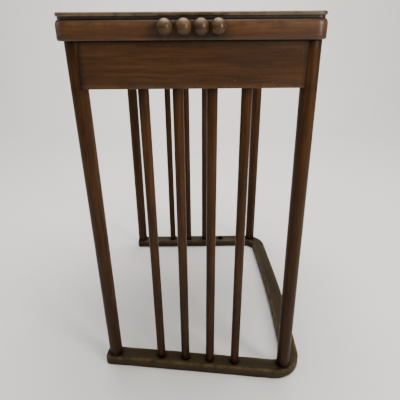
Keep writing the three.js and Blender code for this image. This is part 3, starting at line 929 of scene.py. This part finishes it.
def build_top_board(material):
    rings = []
    for inset, height in lip_profile():
        rings.append([Vector((p.x, p.y, height)) for p in board_outline(inset)])
    top = sweep("top_board_lipped", rings)
    carve(top, [screw_hole(name, UP, 0) for name in numbered("top_screw", 8)])
    finish_piece(
        top, ["top_board"], material, along_y(own_shift(3)),
        wear_and_sheen=lip_wear_and_sheen, dirt_and_shade=groove_shade,
    )


# ---- Balls ----

def ball_radii(name):
    """The ball's half width, half height and the distance from its middle to its seat."""
    size = size_of(name)
    return size.x / 2, size.z / 2, size.y - size.x / 2


def build_ball(index, name, material):
    half_width, half_height, seat = ball_radii(name)
    centre = middle(name)
    centre.y = low(name).y + half_width
    rings = []
    last_angle = math.acos(seat / half_width)
    for ring in range(BALL_RINGS + 1):
        angle = last_angle + (math.pi - last_angle) * ring / BALL_RINGS
        depth = half_width * math.cos(angle)
        spread = max(math.sin(angle), BALL_END_SPREAD)
        points = []
        for point in circle(spread, BALL_SEGMENTS):
            sample = Vector((point.x * 1.6, point.y * 1.6, depth * 90 + index * 9))
            wobble = 1 - BALL_WOBBLE * (1 + noise.noise(sample))
            points.append(centre + Vector((
                point.x * half_width * wobble, depth, point.y * half_height * wobble,
            )))
        rings.append(points)
    ball = sweep(name + "_turned", rings)
    carve(ball, [dowel_hole(f"ball_dowel_{index + 1}")])
    finish_piece(
        ball, [name], material, along_x(own_shift(index + 20) - centre),
        # a paler upper front: wear, and a painted highlight
        wear_and_sheen=lambda place: fade((place - centre - BALL_RUB_AND_HIGHLIGHT).length, BALL_RUB_AND_HIGHLIGHT_REACH),
        dirt_and_shade=ball_dirt_and_shade(high(name).y, low(name).z),
    )


def ball_dirt_and_shade(seat, bottom):
    """Dark around the seat, and a painted shade underneath."""
    def value(place):
        return min(1.0, fade(place.y - seat, 6 * MM) + 0.7 * fade(place.z - bottom, 12 * MM))
    return value


# ---- Ledges and corner blocks ----

def eased_copy(node, width):
    """A copy of a plain CAD board with all its long sharp edges eased."""
    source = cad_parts[node].data
    editable = bmesh.new()
    editable.from_mesh(source)
    bmesh.ops.remove_doubles(editable, verts=editable.verts, dist=JOINED)
    bmesh.ops.dissolve_limit(
        editable, angle_limit=math.radians(1), verts=editable.verts, edges=editable.edges,
    )
    sharp = [
        edge for edge in editable.edges
        if len(edge.link_faces) == 2 and edge.calc_face_angle() > math.radians(40)
        and edge.calc_length() > LONG_EDGE
    ]
    bmesh.ops.bevel(
        editable, geom=sharp, offset=width, segments=3, profile=0.5, affect="EDGES",
        clamp_overlap=True,
    )
    mesh = bpy.data.meshes.new(node + "_eased")
    editable.to_mesh(mesh)
    editable.free()
    piece = bpy.data.objects.new(node + "_eased", mesh)
    bpy.context.scene.collection.objects.link(piece)
    return piece


def build_inner_pieces(material):
    for index, end in enumerate(("front", "rear")):
        name = f"{end}_ledge"
        ledge = eased_copy(name, LEDGE_EASING)
        finish_piece(ledge, [name], material, along_x(own_shift(index + 30)))
    for index, (end, side) in enumerate(POST_SIDES):
        name = f"corner_block_{end}_{side}"
        block = eased_copy(name, BLOCK_EASING)
        finish_piece(block, [name], material, along_x(own_shift(index + 33)))


# ---- Materials ----

class Graph:
    """Short calls for building one material's nodes."""

    def __init__(self, name):
        self.material = bpy.data.materials.new(name)
        self.material.use_nodes = True
        self.nodes = self.material.node_tree.nodes
        self.links = self.material.node_tree.links
        self.shader = self.nodes["Principled BSDF"]

    def set(self, socket, value):
        if isinstance(value, bpy.types.NodeSocket):
            self.links.new(value, socket)
        else:
            socket.default_value = value

    def add(self, kind, inputs, **settings):
        """Adds a node with the given inputs and settings, and returns its outputs."""
        node = self.nodes.new("ShaderNode" + kind)
        for name, value in settings.items():
            setattr(node, name, value)
        for name, value in inputs.items():
            self.set(node.inputs[name], value)
        return node.outputs

    def attribute(self, name, output):
        return self.add("Attribute", {}, attribute_name=name)[output]

    def place(self):
        return self.add("TexCoord", {})["Object"]

    def vector_math(self, operation, *values):
        return self.add("VectorMath", dict(enumerate(values)), operation=operation)["Vector"]

    def bend(self, vector, scale, amount):
        """Moves a coordinate a little by a soft noise, so that lines aren't ruler straight."""
        soft = self.add("TexNoise", {"Vector": vector, "Scale": scale, "Detail": 2})["Color"]
        centred = self.vector_math("SUBTRACT", soft, (0.5, 0.5, 0.5))
        return self.vector_math("MULTIPLY_ADD", centred, (amount, amount, amount), vector)

    def noise(self, vector, scale, detail=3, roughness=0.55):
        inputs = {"Vector": vector, "Scale": scale, "Detail": detail, "Roughness": roughness}
        return self.add("TexNoise", inputs)["Fac"]

    def long_noise(self, vector, factors, detail=3, roughness=0.55):
        """Noise that is stretched along one direction."""
        stretched = self.vector_math("MULTIPLY", vector, factors)
        return self.noise(stretched, 1, detail, roughness)

    def band(self, value, start, end, low_value=0.0, high_value=1.0):
        """A smooth change from the low to the high value between start and end."""
        inputs = {
            "Value": value, "From Min": start, "From Max": end,
            "To Min": low_value, "To Max": high_value,
        }
        return self.add("MapRange", inputs, interpolation_type="SMOOTHSTEP")["Result"]

    def math(self, operation, first, second):
        clamped = operation == "ADD"
        return self.add("Math", {0: first, 1: second}, operation=operation, use_clamp=clamped)["Value"]

    def times(self, first, second):
        return self.math("MULTIPLY", first, second)

    def mix(self, factor, first, second):
        """A blend of two colours; the node's colour sockets are reached by number."""
        return self.add("Mix", {"Factor": factor, 6: first, 7: second}, data_type="RGBA")[2]

    def bump(self, height, distance, strength=1.0, normal=None):
        inputs = {"Strength": strength, "Distance": distance, "Height": height}
        if normal is not None:
            inputs["Normal"] = normal
        return self.add("Bump", inputs)["Normal"]


def colour(red, green, blue):
    """A linear colour from 0-255 display values."""
    def linear(value):
        share = value / 255
        return share / 12.92 if share <= 0.04045 else ((share + 0.055) / 1.055) ** 2.4
    return (linear(red), linear(green), linear(blue), 1.0)


def wood_tones(graph, grain, fibres, look):
    """Streaks, fibres, darker patches and flecks, all along the grain."""
    streaks = graph.long_noise(grain, STREAK_STRETCH, 4, 0.6)
    patches = graph.long_noise(grain, PATCH_STRETCH)
    flecks = graph.long_noise(grain, FLECK_STRETCH, 2)
    wood = graph.mix(graph.band(streaks, 0.28, 0.72), look["dark"], look["light"])
    wood = graph.mix(graph.band(patches, 0.3, 0.7, 0, look["patches"]), wood, look["deep"])
    wood = graph.mix(graph.band(fibres, 0.35, 0.75, 0, 0.35), wood, look["light"])
    return graph.mix(graph.band(flecks, 0.6, 0.7, 0, 0.5), wood, look["deep"])


def worn_and_sheen_share(graph, place, look):
    """How far the stain is rubbed off and painted paler as highlight and sheen: at the marked edges, in
    uneven spots.
    """
    rubbed = graph.band(graph.noise(place, RUBBED_SCALE, 5, 0.65), 0.32, 0.62)
    return graph.times(graph.times(graph.attribute("wear_and_sheen", "Fac"), rubbed), look["wear_and_sheen"])


# Dirt and painted shade, made uneven.
def grime_and_shade_share(graph, place):
    uneven = graph.band(graph.noise(place, GRIME_AND_SHADE_SCALE, 4), 0.1, 0.6, 0.55, 1)
    return graph.times(graph.attribute("dirt_and_shade", "Fac"), uneven)


def roughness_of(graph, place, wear_and_sheen, grime_and_shade, look):
    """Duller in patches, in the wear and painted sheen, and in the dirt and painted shade."""
    dull = graph.noise(place, DULL_SCALE, 4, 0.6)
    rough = graph.band(dull, 0.25, 0.75, look["rough"] - 0.07, look["rough"] + 0.12)
    rough = graph.math("ADD", rough, graph.times(wear_and_sheen, 0.12))
    return graph.math("ADD", rough, graph.times(grime_and_shade, 0.15))


def stained_wood(name, look):
    """Dark stained and varnished beech, worn at the edges and dirty in the joints, with painted
    highlights, sheen and shade.
    """
    graph = Graph(name)
    shader = graph.shader.inputs
    grain = graph.bend(graph.attribute("grain", "Vector"), GRAIN_BEND_SCALE, GRAIN_BEND)
    place = graph.place()
    fibres = graph.long_noise(grain, FIBRE_STRETCH, 3, 0.6)
    wear_and_sheen = worn_and_sheen_share(graph, place, look)
    grime_and_shade = grime_and_shade_share(graph, place)
    scratches = scratch_lines(graph, place)
    specks = chips(graph, place)

    # the worn colour also paints the highlight on the band's shoulder and the sheen on the lip, runner
    # edges and ball tops
    wood = graph.mix(wear_and_sheen, wood_tones(graph, grain, fibres, look), look["worn"])
    # the dirt colour also paints shade: in the groove, under the band and the balls, at the apron ends,
    # towards the floor and up from the feet
    wood = graph.mix(grime_and_shade, wood, DIRT_AND_SHADE_COLOUR)
    wood = graph.mix(graph.times(scratches, look["scratches"]), wood, look["worn"])
    wood = graph.mix(graph.times(specks, look["specks"]), wood, SPECK_COLOUR)
    graph.set(shader["Base Color"], wood)
    graph.set(shader["Roughness"], roughness_of(graph, place, wear_and_sheen, grime_and_shade, look))

    waves = graph.bump(graph.long_noise(grain, WAVE_STRETCH, 2), WAVE_DEPTH, 0.6)
    fine = graph.bump(fibres, FIBRE_DEPTH, 0.7, waves)
    marks = graph.times(graph.math("MAXIMUM", scratches, specks), -1.0)
    graph.set(shader["Normal"], graph.bump(marks, MARK_DEPTH, 0.8, fine))
    shader["Coat Weight"].default_value = look["coat"]
    shader["Coat Roughness"].default_value = COAT_ROUGHNESS
    shader["Specular IOR Level"].default_value = look["gloss"]
    return graph.material


def scratch_lines(graph, place):
    """Short thin scratches in two directions, in some places only."""
    lines = None
    for turn in SCRATCH_TURNS:
        turned_place = graph.add("Mapping", {"Vector": place, "Rotation": turn})["Vector"]
        streaks = graph.long_noise(turned_place, SCRATCH_STRETCH, 2)
        line = graph.band(streaks, 0.68, 0.73)
        lines = line if lines is None else graph.math("MAXIMUM", lines, line)
    where = graph.band(graph.noise(place, SCRATCHED_AREA_SCALE, 2), 0.5, 0.62)
    return graph.times(lines, where)


def chips(graph, place):
    """Small pale chips and specks of dust, few and of uneven size."""
    cells = graph.add("TexVoronoi", {"Vector": graph.bend(place, 300, 0.003), "Scale": CHIP_SCALE})
    draws = graph.add("SeparateColor", {"Color": cells["Color"]})
    chosen = graph.band(draws["Red"], 0.9, 0.92)
    size = graph.times(draws["Green"], 0.1)
    spot = graph.band(graph.math("SUBTRACT", cells["Distance"], size), 0.0, 0.05, 1, 0)
    return graph.times(spot, chosen)


SPECK_COLOUR = colour(150, 132, 104)
# also the colour of the painted shade
DIRT_AND_SHADE_COLOUR = colour(20, 11, 4)

# Each look's worn colour also paints highlights and sheen.
BAND_LOOK = {
    "light": colour(100, 62, 26), "dark": colour(66, 38, 15), "deep": colour(44, 25, 10),
    "worn": colour(120, 84, 46), "patches": 0.5, "wear_and_sheen": 0.5,
    "scratches": 0.3, "specks": 0.2, "rough": 0.36, "coat": 0.2, "gloss": 0.35,
}
APRON_LOOK = {
    "light": colour(90, 56, 25), "dark": colour(58, 35, 15), "deep": colour(38, 22, 10),
    "worn": colour(112, 82, 48), "patches": 0.6, "wear_and_sheen": 0.45,
    "scratches": 0.5, "specks": 0.2, "rough": 0.42, "coat": 0.1, "gloss": 0.22,
}
POST_LOOK = {
    "light": colour(82, 51, 23), "dark": colour(50, 29, 12), "deep": colour(32, 18, 7),
    "worn": colour(104, 74, 42), "patches": 0.5, "wear_and_sheen": 0.4,
    "scratches": 0.3, "specks": 0.2, "rough": 0.36, "coat": 0.03, "gloss": 0.1,
}
RUNNER_LOOK = {
    "light": colour(60, 46, 22), "dark": colour(40, 29, 12), "deep": colour(26, 17, 6),
    "worn": colour(112, 92, 60), "patches": 0.55, "wear_and_sheen": 0.7,
    "scratches": 0.6, "specks": 0.3, "rough": 0.5, "coat": 0.02, "gloss": 0.15,
}
TOP_LOOK = {
    "light": colour(82, 58, 30), "dark": colour(56, 38, 19), "deep": colour(38, 24, 12),
    "worn": colour(112, 92, 58), "patches": 0.5, "wear_and_sheen": 0.8,
    "scratches": 0.5, "specks": 0.3, "rough": 0.36, "coat": 0.25, "gloss": 0.4,
}
BALL_LOOK = {
    "light": colour(98, 68, 34), "dark": colour(54, 33, 16), "deep": colour(30, 16, 8),
    "worn": colour(142, 114, 70), "patches": 0.8, "wear_and_sheen": 0.7,
    "scratches": 0.3, "specks": 0.3, "rough": 0.36, "coat": 0.06, "gloss": 0.28,
}
INNER_LOOK = {
    "light": colour(122, 84, 48), "dark": colour(92, 61, 34), "deep": colour(66, 42, 23),
    "worn": colour(140, 104, 66), "patches": 0.4, "wear_and_sheen": 0.4,
    "scratches": 0.3, "specks": 0.2, "rough": 0.6, "coat": 0.0, "gloss": 0.3,
}


def screw_steel():
    """Dull turned steel with some rust."""
    graph = Graph("screw_steel_worn")
    place = graph.place()
    rings = graph.long_noise(place, (900, 900, 3000))
    rust = graph.band(graph.noise(place, 380, 5, 0.7), 0.52, 0.62)
    steel = graph.mix(graph.band(rings, 0.3, 0.7), colour(120, 118, 112), colour(168, 165, 158))
    graph.set(graph.shader.inputs["Base Color"], graph.mix(rust, steel, colour(96, 58, 34)))
    graph.set(graph.shader.inputs["Metallic"], graph.band(rust, 0, 1, 0.95, 0.2))
    graph.set(graph.shader.inputs["Roughness"], graph.band(rust, 0, 1, 0.38, 0.8))
    graph.set(graph.shader.inputs["Normal"], graph.bump(rings, 0.05 * MM))
    return graph.material


def plain_dowel_wood():
    """Unstained wood for the small dowels, with its grain along them."""
    graph = Graph("dowel_wood")
    place = graph.place()
    streaks = graph.long_noise(place, (900, 40, 900), 4)
    wood = graph.mix(graph.band(streaks, 0.3, 0.7), INNER_LOOK["dark"], INNER_LOOK["light"])
    graph.set(graph.shader.inputs["Base Color"], wood)
    graph.set(graph.shader.inputs["Roughness"], graph.band(streaks, 0.3, 0.7, 0.55, 0.7))
    graph.set(graph.shader.inputs["Normal"], graph.bump(streaks, 0.1 * MM))
    return graph.material


def dress_cad_nodes(names, material):
    for name in names:
        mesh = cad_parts[name].data
        mesh.materials.clear()
        mesh.materials.append(material)


# ---- Stage: floor, lights and camera ----

def build_floor():
    """A pale floor that bends up into a backdrop behind the object."""
    count = STAGE_PARTS + 1
    lines = [number * STAGE_SIZE / STAGE_PARTS - STAGE_SIZE / 2 for number in range(count)]
    vertices = [Vector((x, *backdrop_point(along))) for along in lines for x in lines]
    floor = new_object("studio_floor", vertices, grid_faces(count, count))
    floor.data.shade_smooth()
    graph = Graph("studio_floor_paint")
    tone = graph.noise(graph.place(), 3, 3)
    paint_colour = graph.mix(tone, colour(232, 228, 220), colour(240, 237, 231))
    graph.set(graph.shader.inputs["Base Color"], paint_colour)
    graph.shader.inputs["Roughness"].default_value = 0.8
    floor.data.materials.append(graph.material)


def backdrop_point(along):
    """Depth and height of the stage at a distance along it from front to back."""
    bend_length = BACKDROP_BEND * math.pi / 2
    past = along - BACKDROP_START
    if past <= 0:
        return along, 0.0
    if past < bend_length:
        angle = past / BACKDROP_BEND
        depth = BACKDROP_START + BACKDROP_BEND * math.sin(angle)
        return depth, BACKDROP_BEND * (1 - math.cos(angle))
    return BACKDROP_START + BACKDROP_BEND, BACKDROP_BEND + past - bend_length


def area_light(name, place, target, size, power, tint):
    light = bpy.data.lights.new(name, "AREA")
    light.shape = "RECTANGLE"
    light.size, light.size_y = size
    light.energy = power
    light.color = tint
    lamp = bpy.data.objects.new(name, light)
    lamp.location = place
    lamp.rotation_euler = (Vector(target) - Vector(place)).to_track_quat("-Z", "Y").to_euler()
    bpy.context.scene.collection.objects.link(lamp)


def build_lights():
    world = bpy.data.worlds.new("studio")
    world.use_nodes = True
    background = world.node_tree.nodes["Background"]
    background.inputs["Color"].default_value = WORLD_COLOUR
    background.inputs["Strength"].default_value = WORLD_STRENGTH
    bpy.context.scene.world = world
    for light in LIGHTS:
        area_light(*light)


def build_camera():
    facing = Vector((
        math.sin(CAMERA_YAW) * math.cos(CAMERA_PITCH),
        math.cos(CAMERA_YAW) * math.cos(CAMERA_PITCH),
        -math.sin(CAMERA_PITCH),
    ))
    level = Vector((math.cos(CAMERA_YAW), -math.sin(CAMERA_YAW), 0))
    upright = level.cross(facing)
    right = level * math.cos(CAMERA_ROLL) + upright * math.sin(CAMERA_ROLL)
    top = upright * math.cos(CAMERA_ROLL) - level * math.sin(CAMERA_ROLL)
    lens = bpy.data.cameras.new("camera")
    lens.lens = CAMERA_LENS
    lens.sensor_width = CAMERA_SENSOR
    camera = bpy.data.objects.new("camera", lens)
    turn = Matrix((right, top, -facing)).transposed().to_4x4()
    camera.matrix_world = Matrix.Translation(CAMERA_PLACE) @ turn
    bpy.context.scene.collection.objects.link(camera)
    bpy.context.scene.camera = camera


# ---- Everything ----

def build_object():
    post_wood = stained_wood("post_wood_stained", POST_LOOK)
    apron_wood = stained_wood("apron_wood_stained", APRON_LOOK)
    build_posts(post_wood)
    build_slats(post_wood)
    build_runner(stained_wood("runner_wood_stained", RUNNER_LOOK))
    build_apron("front_apron", 0, apron_wood, own_shift(11))
    build_apron("rear_apron", 0, apron_wood, own_shift(12))
    build_apron("side_apron", 1, apron_wood, own_shift(13))
    build_top_frame(stained_wood("band_wood_stained", BAND_LOOK))
    build_top_board(stained_wood("top_wood_stained", TOP_LOOK))
    ball_wood = stained_wood("ball_wood_stained", BALL_LOOK)
    for index, name in enumerate(BALLS):
        build_ball(index, name, ball_wood)
    build_inner_pieces(stained_wood("inner_wood_plain", INNER_LOOK))
    dress_cad_nodes(numbered("ball_dowel", 4), plain_dowel_wood())
    dress_cad_nodes([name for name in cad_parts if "_screw_" in name], screw_steel())


build_object()
build_floor()
build_lights()
build_camera()
